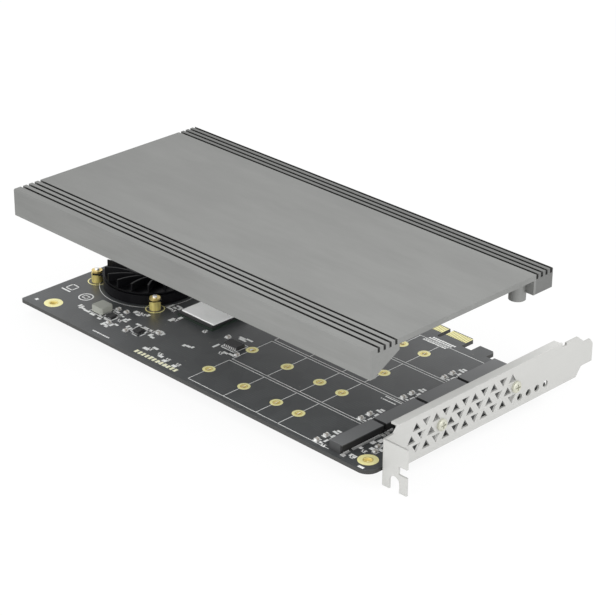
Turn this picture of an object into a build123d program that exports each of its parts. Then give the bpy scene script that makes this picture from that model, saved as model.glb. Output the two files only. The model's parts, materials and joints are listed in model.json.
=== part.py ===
from build123d import *
import math
import os

# Full-height expansion card that carries four M.2 memory modules. The frame is the card's own:
# +X runs along the card towards the slot bracket, +Y points into the host's slot, and z = 0 is the
# face that carries the components. x = 0 is the middle of the key notch in the edge connector and
# y = 0 is the connector's tip. The cover is lifted straight off its seat, as if unscrewed.

os.makedirs("parts", exist_ok=True)

# Circuit board
BOARD_T = 1.6
BOARD_REAR = -144.7
BOARD_FRONT = 55.6
CARD_HEIGHT = 107.9
TAB_HEIGHT = 8.25
TAB_REAR = -72.65
TAB_FRONT = 12.15
TAB_CHAMFER = 1.0
KEY_WIDTH = 1.9
KEY_DEPTH = 7.65
LATCH_GAP = 1.95
LATCH_GAP_DEPTH = 6.3
LATCH_WIDTH = 7.2
LATCH_TIP = 3.1
LATCH_DROP = 0.6
LATCH_NECK = 4.4
FRONT_LUG_GAP = 5.25
FRONT_LUG_WIDTH = 7.9
FRONT_LUG_DROP = 2.7
FRONT_LUG_CHAMFER = 1.1
BOARD_CORNER_R = 5.0
REAR_CORNER_R = 1.2

# Gold contacts of the edge connector
CONTACT_PITCH = 1.0
CONTACT_WIDTH = 0.7
CONTACT_LENGTH = 4.6
CONTACT_INSET = 0.55
CONTACT_T = 0.06
KEY_TO_CONTACT = 1.5
LONG_CONTACTS = 71
SHORT_CONTACTS = 11

# M.2 positions
SLOT_COUNT = 4
NEAR_MARGIN = 1.765
FAR_MARGIN = 4.005
MODULE_END_SETBACK = 19.2
MODULE_LENGTHS = (30, 42, 60, 80)
MODULE_HOLE_R = 1.1

# M.2 sockets
SOCKET_GAP = 1.57
SOCKET_DEPTH = 6.6
SOCKET_HEIGHT = 4.2
SOCKET_LEAD_IN = 2.8
SOCKET_STANDOFF = 0.1
SOCKET_END_WALL = 1.0
MOUTH_BOTTOM = 1.45
MOUTH_HEIGHT = 1.25
MOUTH_DEPTH = 4.9
KEY_RIB_WIDTH = 1.2
KEY_RIB_OFFSET = 6.1
REAR_STEP_HEIGHT = 1.5
REAR_STEP_DEPTH = 1.0
SOLDER_TAB_WIDTH = 1.3
SOLDER_TAB_LENGTH = 1.9
SOLDER_TAB_T = 0.3

# Slot bracket, a folded sheet
BRACKET_T = 0.86
BRACKET_GAP = 0.7
BRACKET_TOP = 15.1
BRACKET_WIDTH = 18.42
BRACKET_LENGTH = 120.02
LUG_Y = -101.5
LUG_REACH = 11.4
LUG_TOP = 12.2
LUG_WIDTH = 19.05
LUG_SLOT_WIDTH = 4.9
LUG_SLOT_CENTRE = 5.4
LUG_SLOT_DEPTH = 6.0
LUG_RELIEF_DEPTH = 4.0
LUG_RELIEF_HEIGHT = 3.4
LUG_RELIEF_DROP = 8.2
SHOULDER_SETBACK = 7.7
SHOULDER_SLOPE = 2.4
RIM_DEPTH = 3.0
RIM_LENGTH = 92.5
TONGUE_LENGTH = 6.7
TONGUE_BOTTOM = 0.6
TONGUE_TOP = 10.8
TONGUE_CHAMFER = (1.8, 2.4)
TONGUE_SLOPE = 3.0
TONGUE_NECK = 1.4
RELIEF_START = 0.6
RELIEF_LENGTH = 2.4
RELIEF_DEPTH = 1.8
TOP_FALL = 0.7
SHOULDER_FALL = 0.2
BEND_R = 0.7
PICK_MARGIN = 0.01
VENT_PITCH = 5.385
VENT_COUNT = 11
VENT_FIRST_Y = -84.2
VENT_ROWS_Z = (10.75, 6.15, 1.55)
VENT_BASE = 4.3
VENT_HEIGHT = 3.3
BRACKET_SCREW_Y = (-70.6, -28.2)
BRACKET_SCREW_Z = 6.3
BRACKET_HOLE_R = 1.6
LED_COUNT = 4
LED_PITCH = 5.15
LED_FIRST_Y = -25.5
LED_Z = 0.75
LED_HOLE_R = 1.45

# Screws and threaded blocks that hold the bracket
BLOCK_WIDTH = 4.8
BLOCK_DEPTH = 7.0
BLOCK_HEIGHT = 9.0
BLOCK_CHAMFER = 0.6
BRACKET_SCREW_R = 1.45
BLOCK_BORE_DEPTH = 5.5
SCREW_END_GAP = 0.3
PAN_HEAD_R = 2.4
PAN_HEAD_T = 1.3
PAN_HEAD_CHAMFER = 0.5
DRIVE_LENGTH = 2.7
DRIVE_WIDTH = 0.6
DRIVE_DEPTH = 0.6

# Cover, an extruded channel
COVER_LIFT = 38.0
COVER_HEIGHT = 11.6
COVER_REAR_OVERHANG = 0.4
COVER_NEAR_OVERHANG = 0.3
COVER_FAR_OVERHANG = 0.2
COVER_FRONT_GAP = 0.5
COVER_EDGE = 0.4
COVER_PLATE_T = 2.3
NEAR_WALL_T = 3.2
NEAR_FOOT = 0.8
NEAR_RAIL_WIDTH = 15.0
NEAR_RAIL_DEPTH = 4.6
FAR_RAIL_WIDTH = 11.0
FAR_RAIL_HEIGHT = 8.3
GROOVE_COUNT = 4
GROOVE_WIDTH = 1.2
GROOVE_DEPTH = 2.0
NEAR_GROOVE_PITCH = 3.0
NEAR_GROOVE_FIRST = 4.2
FAR_GROOVE_PITCH = 2.7
FAR_GROOVE_FIRST = 1.1
BOSS_R = 3.4
INSERT_R = 2.0
INSERT_LENGTH = 6.0
CORNER_HOLE_R = 1.6
CORNER_INSET_REAR = 12.7
CORNER_INSET_FRONT = 6.8
CORNER_INSET_NEAR = 7.1
CORNER_INSET_FAR = 11.75

# Blower
FAN_X = -117.0
FAN_FROM_NEAR = 48.1
FAN_MOUNT_X = 37.0
FAN_MOUNT_Y = 28.6
FAN_FLOOR_Z = 0.4
FAN_DECK_Z = 3.9
FAN_DECK_T = 0.6
FAN_BASE_R = 20.4
EAR_R = 2.8
EAR_ARM = 5.0
EAR_REACH = 4.6
HUB_TUBE_R = 3.0
HUB_FLOOR_T = 0.8
BEARING_R = 2.2
BEARING_TOP = 7.4
SHAFT_R = 1.0
SHAFT_CLEARANCE = 0.05
SHAFT_END_GAP = 0.3
SHAFT_CHAMFER = 0.2
ROTOR_GAP = 0.4
DISC_T = 0.6
BLADE_TOP = 9.0
DISC_R = 19.8
BLADE_TIP_R = 19.5
BLADE_COUNT = 17
BLADE_T = 0.7
BLADE_SWEEP = 29.0
BLADE_SAGITTA = 0.9
BLADE_PHASE = -66.0
BLADE_ROOT = 0.5
HUB_R = 10.4
HUB_TOP = 9.4
HUB_TOP_T = 1.0
HUB_CHAMFER = 0.3
TUBE_GAP = 0.4
STANDOFF_R = 2.4
FAN_NUT_R = 2.3
FAN_NUT_T = 0.8

# Switch chip and its pad
CHIP_X = -77.2
CHIP_FROM_NEAR = 47.0
CHIP_SIZE = 21.0
CHIP_SUBSTRATE_T = 0.9
CHIP_BODY_SIZE = 19.8
CHIP_BODY_T = 1.3
CHIP_CHAMFER = 0.3
PAD_X = -76.3
PAD_SIZE = 19.4
PAD_T = 0.7

# Small components
INDUCTOR_X = -112.2
INDUCTOR_FROM_NEAR = 16.9
INDUCTOR_SIZE = 6.6
INDUCTOR_HEIGHT = 3.0
INDUCTOR_CORNER = 0.7
INDUCTOR_RIM = 0.25
TERMINAL_W = 3.0
TERMINAL_T = 0.15
TERMINAL_INSET = 1.4
CONTROLLER_SIZE = 3.4
CONTROLLER_T = 0.9
CONTROLLER_CHAMFER = 0.1
CONTROLLERS = ((-105.4, 16.3), (-87.6, 15.5))
MEMORY_X = -50.8
MEMORY_FROM_NEAR = 34.0
MEMORY_LENGTH = 7.8
MEMORY_WIDTH = 4.4
MEMORY_T = 1.5
MEMORY_CHAMFER = 0.35
MEMORY_STANDOFF = 0.15
MEMORY_LEADS = 7
MEMORY_LEAD_PITCH = 1.0
MEMORY_LEAD_WIDTH = 0.4
MEMORY_LEAD_REACH = 0.9
MEMORY_LEAD_T = 0.2
MEMORY_LEAD_KNEE = 0.35
HEADER_PADS = 6
HEADER_PITCH = 2.1
HEADER_PAD_W = 1.3
HEADER_PAD_L = 2.2
HEADER_PAD_T = 0.06
HEADER_STARTS = ((-75.0, 3.3), (-62.4, 3.3))
CAP_L = 2.0
CAP_W = 1.25
CAP_T = 0.85
CHIP_L = 1.6
CHIP_W = 0.8
CHIP_T = 0.45
LED_BODY_W = 1.6
LED_BODY_D = 1.6
LED_BODY_H = 1.4
LED_SETBACK = 0.2
LED_OFFSET = 0.6
SOCKET_CAP_BACK = 10.9
SOCKET_CAP_OFFSETS = (-9.4, -4.5)
POWER_CAPS = ((-108.3, 22.3), (-103.9, 22.9), (-101.8, 11.5), (-91.6, 11.7), (-80.4, 19.8))
MEMORY_CAPS = ((-58.2, 37.4), (-44.4, 29.3))
FRONT_CAPS = ((10.7, 16.5), (8.8, 13.1))
POWER_CHIPS = ((-99.3, 26.7), (-97.4, 26.7), (-91.7, 38.1), (-84.5, 32.8), (-83.0, 19.3), (-100.0, 16.0))
HEADER_CHIPS = ((-72.2, 8.3), (-66.2, 8.3), (-60.4, 7.3), (-54.4, 7.3))
MEMORY_CHIPS = ((-50.1, 26.1), (-68.5, 34.2))
FRONT_CHIPS = ((12.0, 10.6), (12.2, 4.5), (25.4, 3.0))

BOARD_NEAR = -CARD_HEIGHT
SHOULDER_Y = -TAB_HEIGHT
BRACKET_X = BOARD_FRONT + BRACKET_GAP
BRACKET_BOTTOM = BRACKET_TOP - BRACKET_WIDTH
MODULE_END_X = BOARD_FRONT - MODULE_END_SETBACK
SOCKET_MOUTH_X = MODULE_END_X - SOCKET_LEAD_IN
SOCKET_REAR_X = SOCKET_MOUTH_X + SOCKET_DEPTH
DECK_TOP = FAN_DECK_Z + FAN_DECK_T
DISC_Z = DECK_TOP + ROTOR_GAP
SLOT_PITCH = (CARD_HEIGHT - TAB_HEIGHT - NEAR_MARGIN - FAR_MARGIN) / SLOT_COUNT
SOCKET_WIDTH = SLOT_PITCH - SOCKET_GAP
MOUTH_WIDTH = SOCKET_WIDTH - 2 * SOCKET_END_WALL
SLOT_YS = [BOARD_NEAR + NEAR_MARGIN + SLOT_PITCH * (i + 0.5) for i in range(SLOT_COUNT)]
MODULE_HOLES = [(MODULE_END_X - length, y) for length in MODULE_LENGTHS for y in SLOT_YS]
CORNER_XS = (BOARD_REAR + CORNER_INSET_REAR, BOARD_FRONT - CORNER_INSET_FRONT)
CORNER_YS = (BOARD_NEAR + CORNER_INSET_NEAR, SHOULDER_Y - CORNER_INSET_FAR)
CORNER_PLACES = [(x, y) for x in CORNER_XS for y in CORNER_YS]
FAN_Y = BOARD_NEAR + FAN_FROM_NEAR
CHIP_Y = BOARD_NEAR + CHIP_FROM_NEAR
INDUCTOR_Y = BOARD_NEAR + INDUCTOR_FROM_NEAR
MEMORY_Y = BOARD_NEAR + MEMORY_FROM_NEAR
FAN_MOUNT_XS = (FAN_X - FAN_MOUNT_X / 2, FAN_X + FAN_MOUNT_X / 2)
FAN_MOUNT_YS = (FAN_Y - FAN_MOUNT_Y / 2, FAN_Y + FAN_MOUNT_Y / 2)
FAN_MOUNTS = [(x, y) for x in FAN_MOUNT_XS for y in FAN_MOUNT_YS]


def polar(radius, degrees, centre=(0.0, 0.0)):
    """Point at a radius and an angle round a centre."""
    turn = math.radians(degrees)
    return (centre[0] + radius * math.cos(turn), centre[1] + radius * math.sin(turn))


def from_near(places):
    """Places on the board whose second number counts up from its near edge."""
    return [(x, BOARD_NEAR + up) for x, up in places]


def from_corner(places):
    """Places on the board counted back from its front edge and up from its near edge."""
    return [(BOARD_FRONT - back, BOARD_NEAR + up) for back, up in places]


def contact_places():
    """Centres of the gold contacts on one face of the tab."""
    y = -CONTACT_INSET - CONTACT_LENGTH / 2
    long_side = [(-KEY_TO_CONTACT - i * CONTACT_PITCH, y) for i in range(LONG_CONTACTS)]
    short_side = [(KEY_TO_CONTACT + i * CONTACT_PITCH, y) for i in range(SHORT_CONTACTS)]
    return long_side + short_side


def write(part, name):
    """Label a finished piece and write its file."""
    part.label = name
    export_step(part, f"parts/{name}.step")


# Board: body, connector tab, rear latch lug and front lug in one outline
latch_rear = TAB_REAR - LATCH_GAP - LATCH_WIDTH
lug_start = TAB_FRONT + FRONT_LUG_GAP
lug_end = lug_start + FRONT_LUG_WIDTH
with BuildPart() as circuit_board:
    with BuildSketch(Plane.XY.offset(-BOARD_T)):
        with BuildLine():
            Polyline(
                (BOARD_REAR, BOARD_NEAR),
                (BOARD_FRONT, BOARD_NEAR),
                (BOARD_FRONT, SHOULDER_Y),
                (lug_end, SHOULDER_Y),
                (lug_end, -FRONT_LUG_DROP - FRONT_LUG_CHAMFER),
                (lug_end - FRONT_LUG_CHAMFER, -FRONT_LUG_DROP),
                (lug_start, -FRONT_LUG_DROP),
                (lug_start, SHOULDER_Y),
                (TAB_FRONT, SHOULDER_Y),
                (TAB_FRONT, -TAB_CHAMFER),
                (TAB_FRONT - TAB_CHAMFER, 0),
                (TAB_REAR + TAB_CHAMFER, 0),
                (TAB_REAR, -TAB_CHAMFER),
                (TAB_REAR, -LATCH_GAP_DEPTH),
                (TAB_REAR - LATCH_GAP, -LATCH_GAP_DEPTH),
                (TAB_REAR - LATCH_GAP, -LATCH_DROP),
                (latch_rear - LATCH_TIP, -LATCH_DROP),
                (latch_rear - LATCH_TIP, -LATCH_NECK + LATCH_TIP / 2),
                (latch_rear, -LATCH_NECK),
                (latch_rear, SHOULDER_Y),
                (BOARD_REAR, SHOULDER_Y),
                close=True,
            )
        make_face()
        near_corners = vertices().group_by(Axis.Y)[0]
        fillet(near_corners.sort_by(Axis.X)[-1], BOARD_CORNER_R)
        fillet(vertices().group_by(Axis.X)[0], REAR_CORNER_R)
        with Locations((0, -KEY_DEPTH / 2)):
            Rectangle(KEY_WIDTH, KEY_DEPTH, mode=Mode.SUBTRACT)
        with Locations((0, -KEY_DEPTH)):
            Circle(KEY_WIDTH / 2, mode=Mode.SUBTRACT)
        with Locations(*MODULE_HOLES):
            Circle(MODULE_HOLE_R, mode=Mode.SUBTRACT)
        with Locations(*CORNER_PLACES):
            Circle(CORNER_HOLE_R, mode=Mode.SUBTRACT)
    extrude(amount=BOARD_T)
write(circuit_board.part, "circuit_board")

# Gold contacts on both faces of the tab
with BuildPart() as edge_contacts:
    with BuildSketch(Plane.XY):
        with Locations(*contact_places()):
            Rectangle(CONTACT_WIDTH, CONTACT_LENGTH)
    extrude(amount=CONTACT_T)
    with BuildSketch(Plane.XY.offset(-BOARD_T)):
        with Locations(*contact_places()):
            Rectangle(CONTACT_WIDTH, CONTACT_LENGTH)
    extrude(amount=-CONTACT_T)
write(edge_contacts.part, "edge_contacts")


def build_socket(y, number):
    """One M.2 socket, open towards the module, with its key rib."""
    with BuildPart() as body:
        with BuildSketch(Plane.XZ.offset(-y - SOCKET_WIDTH / 2)):
            with BuildLine():
                Polyline(
                    (SOCKET_MOUTH_X, SOCKET_STANDOFF),
                    (SOCKET_REAR_X - REAR_STEP_DEPTH, SOCKET_STANDOFF),
                    (SOCKET_REAR_X - REAR_STEP_DEPTH, REAR_STEP_HEIGHT),
                    (SOCKET_REAR_X, REAR_STEP_HEIGHT + REAR_STEP_DEPTH / 2),
                    (SOCKET_REAR_X, SOCKET_HEIGHT),
                    (SOCKET_MOUTH_X, SOCKET_HEIGHT),
                    close=True,
                )
            make_face()
        extrude(amount=SOCKET_WIDTH)
        with BuildSketch(Plane.YZ.offset(SOCKET_MOUTH_X)):
            with Locations((y, MOUTH_BOTTOM + MOUTH_HEIGHT / 2)):
                Rectangle(MOUTH_WIDTH, MOUTH_HEIGHT)
            with Locations((y - KEY_RIB_OFFSET, MOUTH_BOTTOM + MOUTH_HEIGHT / 2)):
                Rectangle(KEY_RIB_WIDTH, MOUTH_HEIGHT, mode=Mode.SUBTRACT)
        extrude(amount=MOUTH_DEPTH, mode=Mode.SUBTRACT)
    write(body.part, f"m2_socket_{number}")


for index, slot_y in enumerate(SLOT_YS):
    build_socket(slot_y, index + 1)

# Solder tabs at both ends of every socket
tab_y = SOCKET_WIDTH / 2 - SOLDER_TAB_WIDTH / 4
with BuildPart() as socket_tabs:
    with BuildSketch(Plane.XY):
        with Locations(*[(SOCKET_REAR_X, y + side * tab_y) for y in SLOT_YS for side in (-1, 1)]):
            Rectangle(SOLDER_TAB_LENGTH, SOLDER_TAB_WIDTH)
    extrude(amount=SOLDER_TAB_T)
write(socket_tabs.part, "socket_tabs")


def triangle(y, z, points_up):
    """One vent hole, drawn in the bracket's plane."""
    half = VENT_BASE / 2
    rise = VENT_HEIGHT / 2 if points_up else -VENT_HEIGHT / 2
    Polygon((y - half, z - rise), (y + half, z - rise), (y, z + rise), mode=Mode.SUBTRACT)


# Slot bracket: plate with its vents, the outward screw lug and the inward rim along the top
plate_end = LUG_Y + BRACKET_LENGTH
plate_square_end = plate_end - TONGUE_LENGTH
relief_y = LUG_Y + SHOULDER_SETBACK + RIM_LENGTH + RELIEF_START
lug_bottom = LUG_TOP - LUG_WIDTH
lug_end_x = BRACKET_X + BRACKET_T + LUG_REACH
lug_slot_x = BRACKET_X + BRACKET_T + LUG_SLOT_CENTRE
relief_z = LUG_TOP - LUG_RELIEF_DROP - LUG_RELIEF_HEIGHT / 2
with BuildPart() as slot_bracket:
    with BuildSketch(Plane.YZ.offset(BRACKET_X)):
        with BuildLine():
            Polyline(
                (LUG_Y, BRACKET_BOTTOM),
                (plate_square_end - TONGUE_SLOPE, BRACKET_BOTTOM),
                (plate_square_end, TONGUE_BOTTOM),
                (plate_end, TONGUE_BOTTOM),
                (plate_end, TONGUE_TOP - TONGUE_CHAMFER[1]),
                (plate_end - TONGUE_CHAMFER[0], TONGUE_TOP),
                (plate_square_end + TONGUE_NECK, TONGUE_TOP),
                (plate_square_end - TONGUE_SLOPE, BRACKET_TOP - TOP_FALL),
                (relief_y + RELIEF_LENGTH, BRACKET_TOP - TOP_FALL),
                (relief_y + RELIEF_LENGTH, BRACKET_TOP - RELIEF_DEPTH),
                (relief_y, BRACKET_TOP - RELIEF_DEPTH),
                (relief_y, BRACKET_TOP),
                (LUG_Y + SHOULDER_SETBACK, BRACKET_TOP),
                (LUG_Y + SHOULDER_SETBACK - SHOULDER_SLOPE, LUG_TOP + SHOULDER_FALL),
                (LUG_Y, LUG_TOP),
                close=True,
            )
        make_face()
        for row, row_z in enumerate(VENT_ROWS_Z):
            shift = -VENT_PITCH / 2 if row == 1 else 0.0
            for column in range(VENT_COUNT):
                vent_y = VENT_FIRST_Y + shift + column * VENT_PITCH
                near_screw = min(abs(vent_y - screw_y) for screw_y in BRACKET_SCREW_Y)
                if row != 1 or near_screw > VENT_BASE / 2:
                    triangle(vent_y, row_z, (column % 2 == 0) == (row < 2))
        with Locations(*[(y, BRACKET_SCREW_Z) for y in BRACKET_SCREW_Y]):
            Circle(BRACKET_HOLE_R, mode=Mode.SUBTRACT)
        with Locations(*[(LED_FIRST_Y + i * LED_PITCH, LED_Z) for i in range(LED_COUNT)]):
            Circle(LED_HOLE_R, mode=Mode.SUBTRACT)
    extrude(amount=BRACKET_T)
    with BuildSketch(Plane.XZ.offset(-LUG_Y)):
        with BuildLine():
            Polyline(
                (BRACKET_X, LUG_TOP),
                (BRACKET_X, lug_bottom),
                (lug_end_x, lug_bottom),
                (lug_end_x, LUG_TOP),
                close=True,
            )
        make_face()
        with Locations((lug_slot_x, lug_bottom + LUG_SLOT_DEPTH / 2 - LUG_SLOT_WIDTH / 4)):
            Rectangle(LUG_SLOT_WIDTH, LUG_SLOT_DEPTH - LUG_SLOT_WIDTH / 2, mode=Mode.SUBTRACT)
        with Locations((lug_slot_x, lug_bottom + LUG_SLOT_DEPTH - LUG_SLOT_WIDTH / 2)):
            Circle(LUG_SLOT_WIDTH / 2, mode=Mode.SUBTRACT)
        with Locations((lug_end_x - LUG_RELIEF_DEPTH / 2, relief_z)):
            Rectangle(LUG_RELIEF_DEPTH, LUG_RELIEF_HEIGHT, mode=Mode.SUBTRACT)
    extrude(amount=-BRACKET_T)
    with BuildSketch(Plane.XY.offset(BRACKET_TOP - BRACKET_T)):
        with Locations((BRACKET_X + BRACKET_T, LUG_Y + SHOULDER_SETBACK)):
            Rectangle(RIM_DEPTH + BRACKET_T, RIM_LENGTH, align=(Align.MAX, Align.MIN))
    extrude(amount=BRACKET_T)
    bend = edges().filter_by(Axis.Z).filter_by_position(Axis.X, BRACKET_X, BRACKET_X + PICK_MARGIN)
    bend = bend.filter_by_position(Axis.Y, LUG_Y - PICK_MARGIN, LUG_Y + PICK_MARGIN)
    fillet(bend, BEND_R)
write(slot_bracket.part, "slot_bracket")

# Threaded blocks on the board that take the bracket's screws
with BuildPart() as bracket_blocks:
    with BuildSketch(Plane.XY):
        block_x = BRACKET_X - BLOCK_DEPTH / 2
        with Locations(*[(block_x, y) for y in BRACKET_SCREW_Y]):
            Rectangle(BLOCK_DEPTH, BLOCK_WIDTH)
    extrude(amount=BLOCK_HEIGHT)
    chamfer(edges().filter_by(Axis.X).group_by(Axis.Z)[-1], BLOCK_CHAMFER)
    with BuildSketch(Plane.YZ.offset(BRACKET_X)):
        with Locations(*[(y, BRACKET_SCREW_Z) for y in BRACKET_SCREW_Y]):
            Circle(BRACKET_SCREW_R)
    extrude(amount=-BLOCK_BORE_DEPTH, mode=Mode.SUBTRACT)
write(bracket_blocks.part, "bracket_blocks")

# Pan-head screws with a cross recess
head_x = BRACKET_X + BRACKET_T
with BuildPart() as bracket_screws:
    with BuildSketch(Plane.YZ.offset(head_x)):
        with Locations(*[(y, BRACKET_SCREW_Z) for y in BRACKET_SCREW_Y]):
            Circle(PAN_HEAD_R)
    extrude(amount=PAN_HEAD_T)
    chamfer(edges().filter_by(GeomType.CIRCLE).group_by(Axis.X)[-1], PAN_HEAD_CHAMFER)
    with BuildSketch(Plane.YZ.offset(head_x)):
        with Locations(*[(y, BRACKET_SCREW_Z) for y in BRACKET_SCREW_Y]):
            Circle(BRACKET_SCREW_R)
    extrude(amount=-(BRACKET_T + BLOCK_BORE_DEPTH - SCREW_END_GAP))
    with BuildSketch(Plane.YZ.offset(head_x + PAN_HEAD_T)):
        with Locations(*[(y, BRACKET_SCREW_Z) for y in BRACKET_SCREW_Y]):
            Rectangle(DRIVE_LENGTH, DRIVE_WIDTH)
            Rectangle(DRIVE_WIDTH, DRIVE_LENGTH)
    extrude(amount=-DRIVE_DEPTH, mode=Mode.SUBTRACT)
write(bracket_screws.part, "bracket_screws")

# Cover: thin top plate, grooved rails, a deep near wall with a sloping web, a short far rail, bosses
cover_top = COVER_LIFT + COVER_HEIGHT
cover_near = BOARD_NEAR - COVER_NEAR_OVERHANG
cover_far = SHOULDER_Y + COVER_FAR_OVERHANG
cover_rear = BOARD_REAR - COVER_REAR_OVERHANG
cover_front = BRACKET_X - COVER_FRONT_GAP
near_grooves = [cover_near + NEAR_GROOVE_FIRST + i * NEAR_GROOVE_PITCH for i in range(GROOVE_COUNT)]
far_grooves = [cover_far - FAR_GROOVE_FIRST - i * FAR_GROOVE_PITCH for i in range(GROOVE_COUNT)]
with BuildPart() as cover:
    with BuildSketch(Plane.YZ.offset(cover_rear)):
        with BuildLine():
            Polyline(
                (cover_near, COVER_LIFT),
                (cover_near + NEAR_WALL_T, COVER_LIFT),
                (cover_near + NEAR_WALL_T, COVER_LIFT + NEAR_FOOT),
                (cover_near + NEAR_RAIL_WIDTH, cover_top - NEAR_RAIL_DEPTH),
                (cover_near + NEAR_RAIL_WIDTH, cover_top - COVER_PLATE_T),
                (cover_far - FAR_RAIL_WIDTH, cover_top - COVER_PLATE_T),
                (cover_far - FAR_RAIL_WIDTH, cover_top - FAR_RAIL_HEIGHT),
                (cover_far, cover_top - FAR_RAIL_HEIGHT),
                (cover_far, cover_top),
                (cover_near, cover_top),
                close=True,
            )
        make_face()
        with Locations(*[(y, cover_top - GROOVE_DEPTH / 2) for y in near_grooves + far_grooves]):
            Rectangle(GROOVE_WIDTH, GROOVE_DEPTH, mode=Mode.SUBTRACT)
    extrude(amount=cover_front - cover_rear)
    long_edges = edges().filter_by(Axis.X).group_by(Axis.Z)[-1].sort_by(Axis.Y)
    chamfer([long_edges[0], long_edges[-1]], COVER_EDGE)
    with BuildSketch(Plane.XY.offset(COVER_LIFT)):
        with Locations(*CORNER_PLACES):
            Circle(BOSS_R)
    extrude(amount=COVER_HEIGHT - COVER_PLATE_T)
    with BuildSketch(Plane.XY.offset(COVER_LIFT)):
        with Locations(*CORNER_PLACES):
            Circle(INSERT_R)
    extrude(amount=INSERT_LENGTH, mode=Mode.SUBTRACT)
write(cover.part, "cover")

# Brass inserts in the cover's bosses, over the board's corner holes
with BuildPart() as cover_posts:
    with BuildSketch(Plane.XY.offset(COVER_LIFT)):
        with Locations(*CORNER_PLACES):
            Circle(INSERT_R)
    extrude(amount=INSERT_LENGTH)
write(cover_posts.part, "cover_posts")

# Blower base: a closed round box with four ears, and the bearing tube in its middle
with BuildPart() as fan_base:
    with BuildSketch(Plane.XY.offset(FAN_FLOOR_Z)):
        with Locations((FAN_X, FAN_Y)):
            Circle(FAN_BASE_R)
    extrude(amount=DECK_TOP - FAN_FLOOR_Z)
    with BuildSketch(Plane.XY.offset(FAN_DECK_Z)):
        for x, y in FAN_MOUNTS:
            turn = math.degrees(math.atan2(y - FAN_Y, x - FAN_X))
            with Locations(Location((x, y, 0), (0, 0, turn))):
                SlotCenterToCenter(2 * EAR_ARM, 2 * EAR_R)
        with Locations((FAN_X, FAN_Y)):
            Circle(FAN_BASE_R + EAR_REACH, mode=Mode.INTERSECT)
    extrude(amount=FAN_DECK_T)
    with BuildSketch(Plane.XY.offset(DECK_TOP)):
        with Locations((FAN_X, FAN_Y)):
            Circle(HUB_TUBE_R)
    extrude(amount=BEARING_TOP - DECK_TOP)
    with BuildSketch(Plane.XY.offset(FAN_FLOOR_Z + HUB_FLOOR_T)):
        with Locations((FAN_X, FAN_Y)):
            Circle(BEARING_R)
    extrude(amount=BEARING_TOP - FAN_FLOOR_Z - HUB_FLOOR_T, mode=Mode.SUBTRACT)
write(fan_base.part, "fan_base")

shaft_bottom = FAN_FLOOR_Z + HUB_FLOOR_T + SHAFT_END_GAP
with BuildPart() as fan_bearing:
    with BuildSketch(Plane.XY.offset(FAN_FLOOR_Z + HUB_FLOOR_T)):
        with Locations((FAN_X, FAN_Y)):
            Circle(BEARING_R)
            Circle(SHAFT_R + SHAFT_CLEARANCE, mode=Mode.SUBTRACT)
    extrude(amount=BEARING_TOP - FAN_FLOOR_Z - HUB_FLOOR_T)
write(fan_bearing.part, "fan_bearing")

with BuildPart() as fan_shaft:
    with BuildSketch(Plane.XY.offset(shaft_bottom)):
        with Locations((FAN_X, FAN_Y)):
            Circle(SHAFT_R)
    extrude(amount=HUB_TOP - HUB_TOP_T - shaft_bottom)
    chamfer(edges().group_by(Axis.Z)[0], SHAFT_CHAMFER)
write(fan_shaft.part, "fan_shaft")

# Impeller: hub over the bearing tube, back disc and a ring of thin curved blades
blade_root = polar(HUB_R - BLADE_ROOT, BLADE_SWEEP)
blade_tip = (BLADE_TIP_R, 0.0)
with BuildSketch() as blade:
    with BuildLine():
        SagittaArc(blade_tip, blade_root, BLADE_SAGITTA)
    trace(line_width=BLADE_T)
with BuildPart() as impeller:
    with BuildSketch(Plane.XY.offset(DISC_Z)):
        with Locations((FAN_X, FAN_Y)):
            Circle(DISC_R)
    extrude(amount=DISC_T)
    with BuildSketch(Plane.XY.offset(DISC_Z)):
        with Locations((FAN_X, FAN_Y)):
            with PolarLocations(0, BLADE_COUNT, start_angle=BLADE_PHASE):
                add(blade.sketch)
    extrude(amount=BLADE_TOP - DISC_Z)
    with BuildSketch(Plane.XY.offset(DISC_Z)):
        with Locations((FAN_X, FAN_Y)):
            Circle(HUB_R)
    extrude(amount=HUB_TOP - DISC_Z)
    chamfer(edges().filter_by(GeomType.CIRCLE).group_by(Axis.Z)[-1], HUB_CHAMFER)
    with BuildSketch(Plane.XY.offset(DISC_Z)):
        with Locations((FAN_X, FAN_Y)):
            Circle(HUB_TUBE_R + TUBE_GAP)
    extrude(amount=HUB_TOP - HUB_TOP_T - DISC_Z, mode=Mode.SUBTRACT)
write(impeller.part, "impeller")

with BuildPart() as fan_standoffs:
    with BuildSketch(Plane.XY):
        with Locations(*FAN_MOUNTS):
            Circle(STANDOFF_R)
    extrude(amount=FAN_DECK_Z)
write(fan_standoffs.part, "fan_standoffs")

# Round nuts on the blower's ears
with BuildPart() as fan_screws:
    with BuildSketch(Plane.XY.offset(DECK_TOP)):
        with Locations(*FAN_MOUNTS):
            Circle(FAN_NUT_R)
    extrude(amount=FAN_NUT_T)
write(fan_screws.part, "fan_screws")

# Switch chip and the soft pad on it
with BuildPart() as switch_chip:
    with BuildSketch(Plane.XY):
        with Locations((CHIP_X, CHIP_Y)):
            Rectangle(CHIP_SIZE, CHIP_SIZE)
    extrude(amount=CHIP_SUBSTRATE_T)
    with BuildSketch(Plane.XY.offset(CHIP_SUBSTRATE_T)):
        with Locations((CHIP_X, CHIP_Y)):
            Rectangle(CHIP_BODY_SIZE, CHIP_BODY_SIZE)
    extrude(amount=CHIP_BODY_T)
    chamfer(faces().sort_by(Axis.Z)[-1].edges(), CHIP_CHAMFER)
write(switch_chip.part, "switch_chip")

with BuildPart() as chip_pad:
    with BuildSketch(Plane.XY.offset(CHIP_SUBSTRATE_T + CHIP_BODY_T)):
        with Locations((PAD_X, CHIP_Y)):
            Rectangle(PAD_SIZE, PAD_SIZE)
    extrude(amount=PAD_T)
write(chip_pad.part, "chip_pad")

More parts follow.
